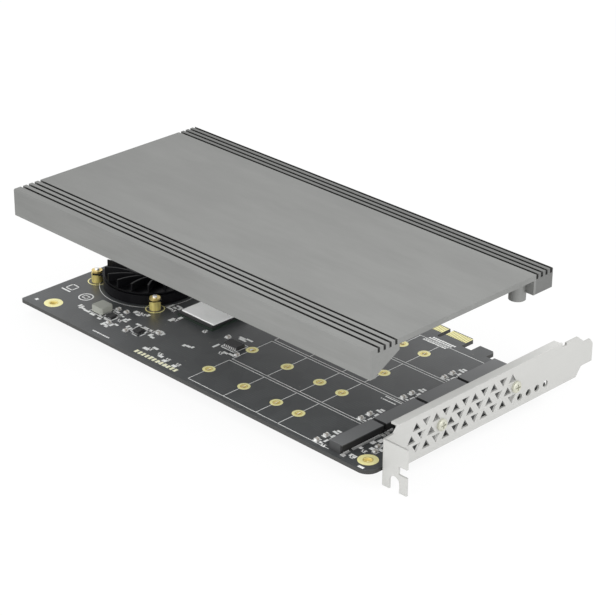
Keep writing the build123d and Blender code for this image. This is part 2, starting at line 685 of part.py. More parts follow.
# Power inductor: moulded block with two folded terminals
with BuildPart() as power_inductor:
    with BuildSketch(Plane.XY.offset(TERMINAL_T)):
        with Locations((INDUCTOR_X, INDUCTOR_Y)):
            Rectangle(INDUCTOR_SIZE, INDUCTOR_SIZE)
    extrude(amount=INDUCTOR_HEIGHT - TERMINAL_T)
    chamfer(edges().filter_by(Axis.Z), INDUCTOR_CORNER)
    chamfer(faces().sort_by(Axis.Z)[-1].edges(), INDUCTOR_RIM)
write(power_inductor.part, "power_inductor")

with BuildPart() as inductor_terminals:
    with BuildSketch(Plane.XY):
        terminal_reach = (INDUCTOR_SIZE - TERMINAL_INSET) / 2
        with Locations(*[(INDUCTOR_X + side * terminal_reach, INDUCTOR_Y) for side in (-1, 1)]):
            Rectangle(TERMINAL_INSET, TERMINAL_W)
    extrude(amount=TERMINAL_T)
write(inductor_terminals.part, "inductor_terminals")

for index, place in enumerate(from_near(CONTROLLERS)):
    with BuildPart() as controller:
        with BuildSketch(Plane.XY):
            with Locations(place):
                Rectangle(CONTROLLER_SIZE, CONTROLLER_SIZE)
        extrude(amount=CONTROLLER_T)
        chamfer(faces().sort_by(Axis.Z)[-1].edges(), CONTROLLER_CHAMFER)
    write(controller.part, f"power_controller_{index + 1}")

# Configuration memory with gull leads on both long sides
with BuildPart() as memory_chip:
    with BuildSketch(Plane.XY.offset(MEMORY_STANDOFF)):
        with Locations((MEMORY_X, MEMORY_Y)):
            Rectangle(MEMORY_LENGTH, MEMORY_WIDTH)
    extrude(amount=MEMORY_T)
    chamfer(faces().sort_by(Axis.Z)[-1].edges(), MEMORY_CHAMFER)
write(memory_chip.part, "memory_chip")

lead_xs = [MEMORY_X + (i - (MEMORY_LEADS - 1) / 2) * MEMORY_LEAD_PITCH for i in range(MEMORY_LEADS)]
with BuildPart() as memory_leads:
    for lead_x in lead_xs:
        with BuildSketch(Plane.YZ.offset(lead_x - MEMORY_LEAD_WIDTH / 2)):
            for side in (-1, 1):
                edge_y = MEMORY_Y + side * MEMORY_WIDTH / 2
                rise = MEMORY_STANDOFF + MEMORY_T / 2
                Polygon(
                    (edge_y, rise),
                    (edge_y + side * MEMORY_LEAD_KNEE, rise),
                    (edge_y + side * MEMORY_LEAD_KNEE, MEMORY_LEAD_T),
                    (edge_y + side * MEMORY_LEAD_REACH, MEMORY_LEAD_T),
                    (edge_y + side * MEMORY_LEAD_REACH, 0),
                    (edge_y + side * (MEMORY_LEAD_KNEE - MEMORY_LEAD_T), 0),
                    (edge_y + side * (MEMORY_LEAD_KNEE - MEMORY_LEAD_T), rise - MEMORY_LEAD_T),
                    (edge_y, rise - MEMORY_LEAD_T),
                )
        extrude(amount=MEMORY_LEAD_WIDTH)
write(memory_leads.part, "memory_leads")

# Gold pads of two unused headers along the near edge
header_places = [(x + i * HEADER_PITCH, y) for x, y in from_near(HEADER_STARTS) for i in range(HEADER_PADS)]
with BuildPart() as header_pads:
    with BuildSketch(Plane.XY):
        with Locations(*header_places):
            Rectangle(HEADER_PAD_W, HEADER_PAD_L)
    extrude(amount=HEADER_PAD_T)
write(header_pads.part, "header_pads")

# Ceramic capacitors beside the sockets and round the power section
socket_cap_x = MODULE_END_X - SOCKET_CAP_BACK
socket_caps = [(socket_cap_x, y + offset) for y in SLOT_YS for offset in SOCKET_CAP_OFFSETS]
with BuildPart() as ceramic_capacitors:
    with BuildSketch(Plane.XY):
        with Locations(*socket_caps, *from_near(POWER_CAPS + MEMORY_CAPS), *from_corner(FRONT_CAPS)):
            Rectangle(CAP_W, CAP_L)
    extrude(amount=CAP_T)
write(ceramic_capacitors.part, "ceramic_capacitors")

# Chip resistors
with BuildPart() as chip_resistors:
    with BuildSketch(Plane.XY):
        near_chips = from_near(POWER_CHIPS + HEADER_CHIPS + MEMORY_CHIPS)
        with Locations(*near_chips, *from_corner(FRONT_CHIPS)):
            Rectangle(CHIP_L, CHIP_W)
    extrude(amount=CHIP_T)
write(chip_resistors.part, "chip_resistors")

# Side-firing status lamps behind the bracket's round holes
with BuildPart() as status_leds:
    with BuildSketch(Plane.XY):
        led_x = BOARD_FRONT - LED_SETBACK - LED_BODY_D / 2
        with Locations(*[(led_x, LED_FIRST_Y + LED_OFFSET + i * LED_PITCH) for i in range(LED_COUNT)]):
            Rectangle(LED_BODY_D, LED_BODY_W)
    extrude(amount=LED_BODY_H)
write(status_leds.part, "status_leds")
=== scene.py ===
"""Looks of an adapter card for M.2 modules: board, print, blower, slot bracket and lifted cover."""

import json
import math

import bpy
from bpy.props import FloatProperty, FloatVectorProperty, PointerProperty
from mathutils import Matrix, Vector

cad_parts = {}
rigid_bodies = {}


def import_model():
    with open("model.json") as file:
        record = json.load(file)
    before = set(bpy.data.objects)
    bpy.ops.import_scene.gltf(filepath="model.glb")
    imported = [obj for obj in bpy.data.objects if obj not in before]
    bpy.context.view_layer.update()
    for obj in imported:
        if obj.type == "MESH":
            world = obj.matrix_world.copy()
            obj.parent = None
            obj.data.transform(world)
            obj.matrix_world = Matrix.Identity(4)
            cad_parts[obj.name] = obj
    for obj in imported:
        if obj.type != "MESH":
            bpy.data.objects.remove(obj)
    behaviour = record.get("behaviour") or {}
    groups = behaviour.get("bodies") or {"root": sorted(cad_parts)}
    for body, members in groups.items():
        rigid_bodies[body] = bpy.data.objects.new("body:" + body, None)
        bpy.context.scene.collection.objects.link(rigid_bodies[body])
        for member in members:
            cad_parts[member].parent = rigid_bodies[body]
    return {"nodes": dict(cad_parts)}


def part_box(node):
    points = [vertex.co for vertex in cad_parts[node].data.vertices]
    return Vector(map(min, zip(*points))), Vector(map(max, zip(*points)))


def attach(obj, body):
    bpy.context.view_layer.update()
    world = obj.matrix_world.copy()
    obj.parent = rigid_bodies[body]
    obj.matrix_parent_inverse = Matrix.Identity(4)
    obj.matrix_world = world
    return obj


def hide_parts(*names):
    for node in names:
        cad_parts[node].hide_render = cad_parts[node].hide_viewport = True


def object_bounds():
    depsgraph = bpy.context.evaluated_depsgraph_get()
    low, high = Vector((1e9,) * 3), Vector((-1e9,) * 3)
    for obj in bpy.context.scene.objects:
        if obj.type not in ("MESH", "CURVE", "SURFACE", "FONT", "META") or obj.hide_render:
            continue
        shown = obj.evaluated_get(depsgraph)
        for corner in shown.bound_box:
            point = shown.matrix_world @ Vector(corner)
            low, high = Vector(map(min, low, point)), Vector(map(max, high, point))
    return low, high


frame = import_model()
cad_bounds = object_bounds()

bl_info = {
    "name": "Adapter Card Looks",
    "version": (1, 0, 0),
    "blender": (4, 5, 0),
    "location": "View3D > Sidebar > Adapter Card",
    "description": "Finishes, print and small parts of an adapter card for M.2 modules",
    "category": "Object",
}

MM = 0.001
NODES = frame["nodes"]
CARD = "card"


def box_mm(node):
    """Lowest and highest corner of a CAD node, in millimetres."""
    return tuple(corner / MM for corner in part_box(node))


# Places and sizes shared by several pieces, in millimetres, taken from the frame where it has them
BOARD_LOW, BOARD_HIGH = box_mm("circuit_board")
COVER_LOW, COVER_HIGH = box_mm("cover")
FAN_LOW, FAN_HIGH = box_mm("impeller")
NUTS_LOW, NUTS_HIGH = box_mm("fan_screws")
BRACKET_HIGH = box_mm("slot_bracket")[1]
SOCKETS = [box_mm(f"m2_socket_{i}") for i in range(1, 5)]
SOCKET_LOW, SOCKET_HIGH = SOCKETS[0]
SLOT_YS = [(low.y + high.y) / 2 for low, high in SOCKETS]
MODULE_END_X = SOCKET_LOW.x + 2.8
MODULE_LENGTHS = (30, 42, 60, 80)
MODULE_BORE = 1.1
CORNER_BORE = 1.6
CORNER_XS = (BOARD_LOW.x + 12.7, BOARD_HIGH.x - 6.8)
CORNER_YS = (BOARD_LOW.y + 7.1, -20.0)
FAN_X = (FAN_LOW.x + FAN_HIGH.x) / 2
FAN_Y = (FAN_LOW.y + FAN_HIGH.y) / 2
BOARD_T = 1.6
SEAT = 0.02
WELD = 0.001
NUT_RADIUS = 2.3
KEY_RIB_AT = -6.1
KEY_RIB_CLEAR = 0.9
CONTACTS_PER_SIDE = 19
CHIP_CARRIER_TOP = 0.92
NEAR_RAIL = 15.0
FAR_RAIL = 9.8
PIN_MARK_RADIUS = 0.3
GROOVE_MARGIN = 1.2
BLACK = (0.0, 0.0, 0.0)
WHITE = (1.0, 1.0, 1.0)

# A spring in a socket's mouth: reach from the mouth, rise from its base
SPRING_PROFILE = (
    (4.85, 0.02), (2.4, 0.14), (1.8, 0.34), (1.1, 0.16),
    (1.1, 0.24), (1.8, 0.44), (2.4, 0.24), (4.85, 0.12),
)

# Printed bars beside a socket: x, offset from its middle, size along X, size along Y
SOCKET_BARS = (
    (25.5, -9.4, 1.9, 2.5), (25.5, -4.5, 1.9, 2.5), (25.9, -0.3, 1.0, 0.6), (27.3, -0.5, 1.0, 0.6),
    (26.9, 1.1, 1.6, 0.5), (27.8, -3.2, 0.6, 1.6), (28.8, -3.6, 0.5, 1.6), (28.3, -7.3, 0.5, 1.8),
    (27.7, -9.6, 0.9, 0.5), (29.4, -10.1, 0.9, 0.5), (29.0, -5.2, 1.1, 0.4),
)

# Printed bars round the small parts: x, height over the near edge, size along X, size along Y
SMALL_BARS = (
    (-139.6, 4.4, 0.9, 0.9), (50.6, 1.5, 2.2, 0.7), (43.1, 5.2, 2.6, 1.2), (-120.9, 13.0, 0.6, 2.2),
    (-122.4, 13.6, 0.6, 1.6), (-119.4, 12.6, 1.6, 0.6), (-116.6, 12.2, 3.0, 0.6), (-112.6, 11.9, 2.2, 0.8),
    (-108.7, 13.1, 2.4, 0.8), (-107.7, 11.3, 1.6, 0.6), (-104.9, 13.0, 2.2, 0.6), (-103.0, 9.6, 0.7, 2.2),
    (-101.2, 9.4, 1.5, 0.6), (-99.6, 11.2, 0.8, 2.0), (-98.4, 12.6, 1.8, 0.6), (-104.0, 19.6, 0.6, 1.6),
    (-102.4, 19.4, 1.4, 0.5), (-99.5, 18.0, 0.7, 2.0), (-98.0, 17.2, 1.0, 0.5), (-106.8, 20.6, 1.6, 0.6),
    (-101.6, 26.0, 1.2, 1.6), (-99.0, 24.9, 1.8, 0.6), (-95.7, 27.6, 0.8, 1.4), (-92.0, 19.2, 2.4, 0.7),
    (-90.7, 17.4, 0.7, 2.0), (-89.6, 12.8, 2.2, 0.7), (-86.4, 12.4, 2.4, 0.8), (-84.4, 14.4, 0.8, 2.6),
    (-84.8, 18.6, 0.8, 2.2), (-87.6, 19.4, 2.2, 0.6), (-91.8, 14.2, 0.7, 1.8), (-82.4, 20.6, 1.0, 2.2),
    (-80.6, 21.6, 1.6, 0.8), (-78.8, 20.4, 0.8, 1.8), (-81.6, 16.6, 1.2, 1.6), (-79.6, 15.6, 1.6, 0.7),
    (-94.8, 38.4, 2.6, 0.6), (-95.9, 40.6, 0.6, 2.4), (-93.4, 40.2, 1.6, 0.7), (-91.2, 41.2, 0.8, 2.0),
    (-93.0, 42.2, 2.2, 0.6), (-86.1, 32.0, 1.3, 2.6), (-84.7, 35.4, 1.1, 1.8), (-73.9, 7.4, 2.6, 1.2),
    (-71.4, 10.2, 2.4, 0.8), (-64.9, 7.2, 2.0, 1.0), (-61.0, 5.6, 1.8, 1.0), (-55.0, 5.4, 1.8, 1.0),
    (-65.4, 20.2, 0.9, 1.2), (-63.6, 20.8, 1.6, 0.8), (-61.8, 21.4, 0.6, 1.1), (-69.0, 34.8, 0.5, 1.8),
    (-56.4, 29.2, 0.6, 3.2), (-58.6, 37.8, 1.6, 2.2), (-53.8, 41.4, 3.0, 0.6), (-52.6, 40.2, 3.4, 0.6),
    (-50.4, 42.0, 3.0, 0.5), (-44.4, 36.4, 0.8, 2.2), (-46.2, 28.2, 2.6, 0.7), (-49.2, 27.6, 2.2, 0.7),
    (42.6, 20.6, 1.5, 2.2), (46.4, 21.2, 1.2, 1.6), (44.6, 14.0, 2.0, 1.2), (41.4, 17.6, 1.2, 1.8),
    (47.4, 15.6, 1.6, 1.0), (45.4, 18.2, 1.0, 1.6), (40.9, 11.6, 1.0, 1.0), (-114.4, 14.5, 1.0, 0.8),
    (-105.0, 15.4, 0.7, 1.4), (-103.0, 17.8, 0.8, 1.0), (-98.3, 19.2, 0.8, 1.4), (-104.7, 23.2, 1.4, 0.7),
    (-100.2, 8.6, 1.2, 0.6), (-93.8, 15.0, 0.7, 1.4), (-62.2, 3.4, 1.4, 0.5), (-66.6, 4.2, 1.2, 0.5),
    (-58.0, 3.0, 1.6, 0.5),
)


def length(name, description, default):
    """A size property in millimetres."""
    return FloatProperty(name=name, description=description, default=default, min=0.0, unit="NONE")


class CardSizes(bpy.types.PropertyGroup):
    """Sizes of the print and of the small trim, in millimetres."""

    line_width: length("Line width", "Width of a printed line", 0.26)
    fine_line: length("Fine line", "Width of a printed line beside a small part", 0.28)
    ink_spread: length("Ink spread", "Growth of a printed bar on every side", 0.27)
    ink_height: length("Ink height", "Height of the print", 0.015)
    slot_frame_width: length("Slot frame width", "Printed frame round one module", 22.0)
    fan_ring_radius: length("Blower ring radius", "Printed ring round the blower", 22.0)
    module_pad: length("Module pad radius", "Plated ring round a module hole", 2.6)
    corner_pad: length("Corner pad radius", "Plated ring round a corner hole", 4.0)
    collar: length("Collar width", "Darker gold round the mouth of a hole", 0.45)
    collar_rise: length("Collar rise", "Height of that ring over the plating", 0.015)
    standoff_pad: length("Standoff pad radius", "Thin plated ring round a standoff", 4.1)
    standoff_ring: length("Standoff ring width", "Width of the ring round a standoff", 0.4)
    plate_height: length("Plating height", "Height of the plating over the board", 0.035)
    barrel: length("Barrel wall", "Plating inside a hole", 0.1)
    lead_pitch: length("Lead pitch", "Pitch of a socket's contacts", 0.5)
    lead_width: length("Lead width", "Width of a socket's contacts", 0.22)
    cap_end: length("Cap end", "Tinned end of a small part", 0.4)
    pad_round: length("Pad rounding", "Rounding of the soft pad", 0.3)
    groove_depth: length("Groove depth", "Depth of the cover's grooves", 2.0)


def tint(name, description, default):
    """A base colour."""
    return FloatVectorProperty(name=name, description=description, default=default, size=3, subtype="COLOR")


class CardColours(bpy.types.PropertyGroup):
    """Base colours of the finishes."""

    mask: tint("Solder mask", "Board lacquer", (0.059, 0.063, 0.065))
    ink: tint("Print", "Printing ink", (0.98, 0.99, 0.98))
    gilt: tint("Gilt", "Gold plating", (1.0, 0.91, 0.44))
    collar: tint("Collar", "Gold round and inside a hole", (0.80, 0.64, 0.20))
    brass: tint("Brass", "Turned brass", (0.98, 0.76, 0.28))
    tin: tint("Tin", "Tinned leads", (0.86, 0.86, 0.85))
    cover: tint("Cover", "Anodised cover", (0.211, 0.214, 0.207))
    bracket: tint("Bracket", "Plated steel", (0.505, 0.505, 0.489))
    fan: tint("Blower", "Moulded blower", (0.006, 0.006, 0.007))
    socket: tint("Socket", "Moulded socket", (0.040, 0.041, 0.042))
    chip_pad: tint("Chip pad", "Soft pad on the chip", (0.98, 1.0, 0.98))
    ceramic: tint("Ceramic", "Capacitor bodies", (0.43, 0.40, 0.36))


class StageSettings(bpy.types.PropertyGroup):
    """Camera and light of the studio view."""

    azimuth: FloatProperty(
        name="Azimuth", description="Camera direction", default=math.radians(44.8545), subtype="ANGLE")
    elevation: FloatProperty(
        name="Elevation", description="Camera height angle", default=math.radians(26.1906), subtype="ANGLE")
    roll: FloatProperty(
        name="Roll", description="Camera roll", default=math.radians(0.4938), subtype="ANGLE")
    place: FloatVectorProperty(
        name="Camera place", description="Camera centre", default=(0.521776, -0.607818, 0.402203),
        subtype="TRANSLATION", size=3)
    lens: FloatProperty(
        name="Lens", description="Focal length", default=128.41, min=10.0, subtype="DISTANCE_CAMERA")
    world_light: FloatProperty(
        name="World light", description="Strength of the soft light", default=0.96, min=0.0,
        subtype="FACTOR")
    key_light: FloatProperty(
        name="Key light", description="Power of the overhead panel", default=1.75, min=0.0, unit="POWER")
    side_light: FloatProperty(
        name="Side light", description="Power of the front panel", default=3.0, min=0.0, unit="POWER")
    low_light: FloatProperty(
        name="Low light", description="Power of the low panel", default=4.6, min=0.0, unit="POWER")


class Wire:
    """A shader socket that takes part in Python sums."""

    def __init__(self, recipe, socket):
        self.recipe = recipe
        self.socket = socket

    def maths(self, operation, *values):
        sockets = dict(enumerate(values))
        return self.recipe.node("ShaderNodeMath", {"operation": operation}, sockets)

    def __add__(self, other):
        return self.maths("ADD", self, other)

    def __radd__(self, other):
        return self.maths("ADD", other, self)

    def __sub__(self, other):
        return self.maths("SUBTRACT", self, other)

    def __rsub__(self, other):
        return self.maths("SUBTRACT", other, self)

    def __mul__(self, other):
        return self.maths("MULTIPLY", self, other)

    def __rmul__(self, other):
        return self.maths("MULTIPLY", other, self)

    def __truediv__(self, other):
        return self.maths("DIVIDE", self, other)

    def __gt__(self, other):
        return self.maths("GREATER_THAN", self, other)

    def __lt__(self, other):
        return self.maths("LESS_THAN", self, other)

    def between(self, low, high):
        return (self > low) * (self < high)


class Recipe:
    """A material, or the world, in the making. Every node comes from node()."""

    def __init__(self, name, kind="materials"):
        self.block = getattr(bpy.data, kind).new(name)
        self.block.use_nodes = True
        self.tree = self.block.node_tree
        self.tree.nodes.clear()

    def node(self, kind, settings=None, sockets=None, take=0):
        """Add a node: its settings first, then the values or wires of its sockets."""
        made = self.tree.nodes.new(kind)
        for name, value in (settings or {}).items():
            setattr(made, name, value)
        for name, value in (sockets or {}).items():
            if isinstance(value, Wire):
                self.tree.links.new(value.socket, made.inputs[name])
            else:
                made.inputs[name].default_value = value
        if isinstance(take, tuple):
            return [Wire(self, made.outputs[name]) for name in take]
        return Wire(self, made.outputs[take])

    def place(self):
        """Position on the object, as a vector."""
        return self.node("ShaderNodeTexCoord", take="Object")

    def axes(self, vector):
        """The three numbers of a vector."""
        return self.node("ShaderNodeSeparateXYZ", None, {0: vector}, take=(0, 1, 2))

    def stretched(self, scale):
        """Position scaled by a different factor along each axis."""
        return self.node("ShaderNodeMapping", None, {"Vector": self.place(), "Scale": scale})

    def noise(self, scale, detail=2.0, vector=None, rough=0.5):
        """Soft noise from 0 to 1; scale is in waves per metre."""
        sockets = {"Vector": vector or self.place(), "Scale": scale, "Detail": detail, "Roughness": rough}
        return self.node("ShaderNodeTexNoise", None, sockets)

    def mix(self, factor, first, second):
        """Blend of two colours."""
        sockets = {0: factor, 6: rgba(first), 7: rgba(second)}
        return self.node("ShaderNodeMix", {"data_type": "RGBA"}, sockets, take=2)

    def bump(self, height, distance, strength=1.0):
        """Normal that follows a height."""
        sockets = {"Strength": strength, "Distance": distance, "Height": height}
        return self.node("ShaderNodeBump", None, sockets)

    def finish(self, **sockets):
        """Close the recipe with one surface shader."""
        named = {
            name.replace("_", " ").title().replace("Ior", "IOR"): value
            for name, value in sockets.items()}
        surface = self.node("ShaderNodeBsdfPrincipled", None, named)
        self.node("ShaderNodeOutputMaterial", None, {"Surface": surface}, take=())
        return self.block


def rgba(colour):
    """A colour with its alpha, or a wire as it is."""
    if isinstance(colour, Wire):
        return colour
    return (*colour, 1.0)


def shade(colour, factor):
    """The same colour, lighter or darker."""
    return tuple(min(1.0, channel * factor) for channel in colour)


def colours():
    return bpy.context.scene.card_colours


def sizes():
    return bpy.context.scene.card_sizes


def paint(material, *names):
    """Give CAD nodes their finish."""
    for name in names:
        slots = NODES[name].data.materials
        slots.clear()
        slots.append(material)


def start_piece(name, material):
    """An empty mesh object in edit mode, ready for its parts."""
    bpy.ops.object.select_all(action="DESELECT")
    mesh = bpy.data.meshes.new(name)
    piece = bpy.data.objects.new(name, mesh)
    bpy.context.scene.collection.objects.link(piece)
    mesh.materials.append(material)
    bpy.context.view_layer.objects.active = piece
    piece.select_set(True)
    bpy.ops.object.mode_set(mode="EDIT")
    return piece


def close_piece(piece, smooth_angle=30.0):
    """Turn every face outward and leave edit mode."""
    bpy.ops.mesh.select_all(action="SELECT")
    bpy.ops.mesh.normals_make_consistent(inside=False)
    bpy.ops.object.mode_set(mode="OBJECT")
    bpy.ops.object.shade_smooth_by_angle(angle=math.radians(smooth_angle))
    piece.select_set(False)


def copy_piece(piece, name, shift):
    """A copy with its own mesh, moved inside that mesh so that the object stays at the origin."""
    bpy.ops.object.select_all(action="DESELECT")
    piece.select_set(True)
    bpy.context.view_layer.objects.active = piece
    bpy.ops.object.duplicate(linked=False)
    made = bpy.context.active_object
    made.name = name
    made.data.name = name
    made.location = Vector(shift) * MM
    bpy.ops.object.transform_apply(location=True, rotation=False, scale=False)
    made.select_set(False)
    return made


def add_block(low, high):
    """A box between two corners, in millimetres."""
    low, high = Vector(low), Vector(high)
    bpy.ops.mesh.primitive_cube_add(size=MM, location=(low + high) / 2 * MM, scale=high - low)


def add_outline(points):
    """A flat closed outline through the given points, in millimetres."""
    bpy.ops.mesh.primitive_plane_add(size=MM, location=Vector(points[0]) * MM)
    bpy.ops.mesh.merge(type="CENTER")
    for before, after in zip(points, points[1:]):
        step = (Vector(after) - Vector(before)) * MM
        bpy.ops.mesh.extrude_region_move(TRANSFORM_OT_translate={"value": step})
    bpy.ops.mesh.select_linked()
    bpy.ops.mesh.edge_face_add()


def add_prism(points, step):
    """The outline's solid, drawn out by a step."""
    add_outline(points)
    bpy.ops.mesh.extrude_region_move(TRANSFORM_OT_translate={"value": Vector(step) * MM})
    bpy.ops.mesh.select_linked()


def add_turned(x, y, profile, steps=48):
    """A solid turned about a vertical axis from its closed profile of radius and height."""
    bpy.ops.mesh.select_all(action="SELECT")
    bpy.ops.mesh.hide()
    add_outline([(x + radius, y, height) for radius, height in profile])
    bpy.ops.mesh.delete(type="ONLY_FACE")
    bpy.ops.mesh.select_all(action="SELECT")
    bpy.ops.mesh.spin(steps=steps, angle=math.tau, center=Vector((x, y, 0.0)) * MM, axis=(0.0, 0.0, 1.0))
    bpy.ops.mesh.select_all(action="SELECT")
    bpy.ops.mesh.remove_doubles(threshold=WELD * MM)
    bpy.ops.mesh.delete_loose()
    bpy.ops.mesh.reveal(select=False)


def add_ring(x, y, inner, outer, low, high, steps=48):
    """A flat ring about a vertical axis."""
    add_turned(x, y, ((inner, low), (outer, low), (outer, high), (inner, high)), steps)


def copy_along(steps):
    """Copies of what is selected, each a further step along Y, in millimetres."""
    for step in steps:
        bpy.ops.mesh.duplicate_move(TRANSFORM_OT_translate={"value": (0.0, step * MM, 0.0)})


def solid_boxes(name):
    """Corner pairs of the separate solids in a CAD node, in millimetres."""
    node = NODES[name]
    places = [node.matrix_world @ vertex.co / MM for vertex in node.data.vertices]
    keys = [tuple(round(number, 3) for number in place) for place in places]
    above = {key: key for key in keys}

    def top(key):
        while above[key] != key:
            key = above[key]
        return key

    for edge in node.data.edges:
        first, second = (top(keys[i]) for i in edge.vertices)
        above[first] = second
    groups = {}
    for key in above:
        groups.setdefault(top(key), []).append(key)
    return [(Vector(map(min, zip(*keys))), Vector(map(max, zip(*keys)))) for keys in groups.values()]


def pad_collar(name, material, x, y, bore):
    """A thin ring of darker gold on a pad, round the mouth of its hole."""
    rise = sizes().plate_height
    piece = start_piece(name, material)
    add_ring(x, y, bore, bore + sizes().collar, rise / 2, rise + sizes().collar_rise)
    close_piece(piece)
    return piece


def plated_hole(name, material, x, y, bore, pad):
    """A plated hole: one ring on each face of the board and the barrel between them."""
    rise = sizes().plate_height
    wall = sizes().barrel
    piece = start_piece(name, material)
    profile = (
        (bore - wall, rise), (pad, rise), (pad, -SEAT), (bore + wall, -SEAT),
        (bore + wall, SEAT - BOARD_T), (pad, SEAT - BOARD_T),
        (pad, -rise - BOARD_T), (bore - wall, -rise - BOARD_T))
    add_turned(x, y, profile)
    close_piece(piece)
    return piece


def module_hole_places():
    """Name and place of every module hole, the first one first."""
    return [(f"plated_hole_{reach}_{i + 1}", MODULE_END_X - reach, y)
            for reach in MODULE_LENGTHS for i, y in enumerate(SLOT_YS)]


def corner_hole_places():
    """Name and place of every corner hole."""
    return [(f"corner_hole_{i + 1}_{j + 1}", x, y)
            for i, x in enumerate(CORNER_XS) for j, y in enumerate(CORNER_YS)]


def standoff_places():
    """Name and place of the ring under every standoff."""
    reach = (NUTS_HIGH.y - NUTS_LOW.y) / 2 - NUT_RADIUS
    stretch = (NUTS_HIGH.x - NUTS_LOW.x) / 2 - NUT_RADIUS
    return [(f"standoff_ring_{i + 1}_{j + 1}", FAN_X + i_side * stretch, FAN_Y + j_side * reach)
            for i, i_side in enumerate((-1, 1)) for j, j_side in enumerate((-1, 1))]


def set_out(first, places):
    """The first piece and its copies, each on its place and riding on the card."""
    (_, x0, y0), *others = places
    for name, x, y in others:
        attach(copy_piece(first, name, (x - x0, y - y0, 0.0)), CARD)
    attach(first, CARD)


def lead_places():
    """Distances of a socket's contacts from its middle, with the gap where the key rib is."""
    pitch = sizes().lead_pitch
    every = [pitch * i for i in range(-CONTACTS_PER_SIDE, CONTACTS_PER_SIDE + 1)]
    return [place for place in every if abs(place - KEY_RIB_AT) > KEY_RIB_CLEAR]


def add_contacts(profile):
    """One contact bent to a profile of x and z, and its copies along the socket."""
    places = lead_places()
    width = sizes().lead_width
    y = SLOT_YS[0] + places[0] - width / 2
    add_prism([(x, y, z) for x, z in profile], (0.0, width, 0.0))
    copy_along([after - before for before, after in zip(places, places[1:])])


def printed_line(start, end, width=None):
    """A printed line along X or Y."""
    half = (width or sizes().line_width) / 2
    low = (min(start[0], end[0]) - half, min(start[1], end[1]) - half, -SEAT)
    high = (max(start[0], end[0]) + half, max(start[1], end[1]) + half, sizes().ink_height)
    add_block(low, high)


def printed_frame(low, high, width=None):
    """Four printed lines round a field."""
    printed_line(low, (high[0], low[1]), width)
    printed_line((low[0], high[1]), high, width)
    printed_line(low, (low[0], high[1]), width)
    printed_line((high[0], low[1]), high, width)


def printed_row(x, y, widths, height=0.9, gap=0.25):
    """A row of plain printed bars along X."""
    for width in widths:
        add_block((x, y - height / 2, -SEAT), (x + width, y + height / 2, sizes().ink_height))
        x += width + gap


def printed_bar(x, y, long, wide):
    """A plain printed bar about its middle, so long along X and so wide along Y."""
    half_long = long / 2 + sizes().ink_spread
    half_wide = wide / 2 + sizes().ink_spread
    add_block(
        (x - half_long, y - half_wide, -SEAT), (x + half_long, y + half_wide, sizes().ink_height))


def printed_dot(x, y, radius):
    """A printed round dot."""
    rise = sizes().ink_height
    add_turned(x, y, ((0.0, -SEAT), (radius, -SEAT), (radius, rise), (0.0, rise)), 16)


def printed_ring(x, y, radius, width=None):
    """A printed circle."""
    half = (width or sizes().line_width) / 2
    add_ring(x, y, radius - half, radius + half, -SEAT, sizes().ink_height, 96)


def solder_mask():
    """Dark lacquer over copper: faint parallel tracks, plated holes and a fine grain."""
    recipe = Recipe("solder_mask")
    base = colours().mask
    z = recipe.axes(recipe.place())[2]
    tracks = recipe.node("ShaderNodeTexWave", {"wave_type": "BANDS", "bands_direction": "Y"},
                         {"Vector": recipe.place(), "Scale": 260.0, "Distortion": 0.0})
    patches = recipe.noise(95.0, 1.0) > 0.52
    pour = recipe.noise(42.0, 0.0) > 0.5
    copper = (tracks > 0.55) * patches
    lit = recipe.mix(copper * 0.55 + pour * 0.25, base, shade(base, 1.30))
    vias = recipe.node("ShaderNodeTexVoronoi", {"feature": "F1"},
                       {"Vector": recipe.place(), "Scale": 210.0, "Randomness": 0.9})
    dots = (vias < 0.07) * (recipe.noise(60.0, 0.0) > 0.47)
    colour = recipe.mix(dots * 0.5, lit, (0.20, 0.19, 0.15))
    edge = z.between(-(BOARD_T - 0.05) * MM, -0.05 * MM)
    colour = recipe.mix(edge, colour, (0.030, 0.030, 0.028))
    height = copper * 0.5 + recipe.noise(4000.0, 2.0) * 0.3
    return recipe.finish(
        base_color=colour, roughness=0.34 + recipe.noise(1500.0) * 0.12,
        normal=recipe.bump(height, 0.02 * MM, 0.5))


def metal(name, base, rough, shine=1.0, streak=(1.0, 1.0, 1.0), spread=0.06):
    """A metal whose colour and gloss vary a little, in streaks where the scale is uneven."""
    recipe = Recipe(name)
    lines = recipe.noise(700.0, 2.0, vector=recipe.stretched(streak))
    colour = recipe.mix(lines, shade(base, 1 - spread), shade(base, 1 + spread))
    return recipe.finish(
        base_color=colour, metallic=shine, roughness=rough + (lines - 0.5) * 0.1,
        normal=recipe.bump(lines, 0.006 * MM, 0.15))


def moulding(name, base, rough, grain=2500.0, gleam=0.5):
    """Moulded plastic with a fine spark-eroded grain."""
    recipe = Recipe(name)
    speck = recipe.noise(grain, 2.0)
    broad = recipe.noise(90.0, 1.0)
    colour = recipe.mix(broad, shade(base, 0.88), shade(base, 1.14))
    return recipe.finish(
        base_color=colour, roughness=rough + (speck - 0.5) * 0.1, specular_ior_level=gleam,
        normal=recipe.bump(speck, 0.02 * MM, 0.4))


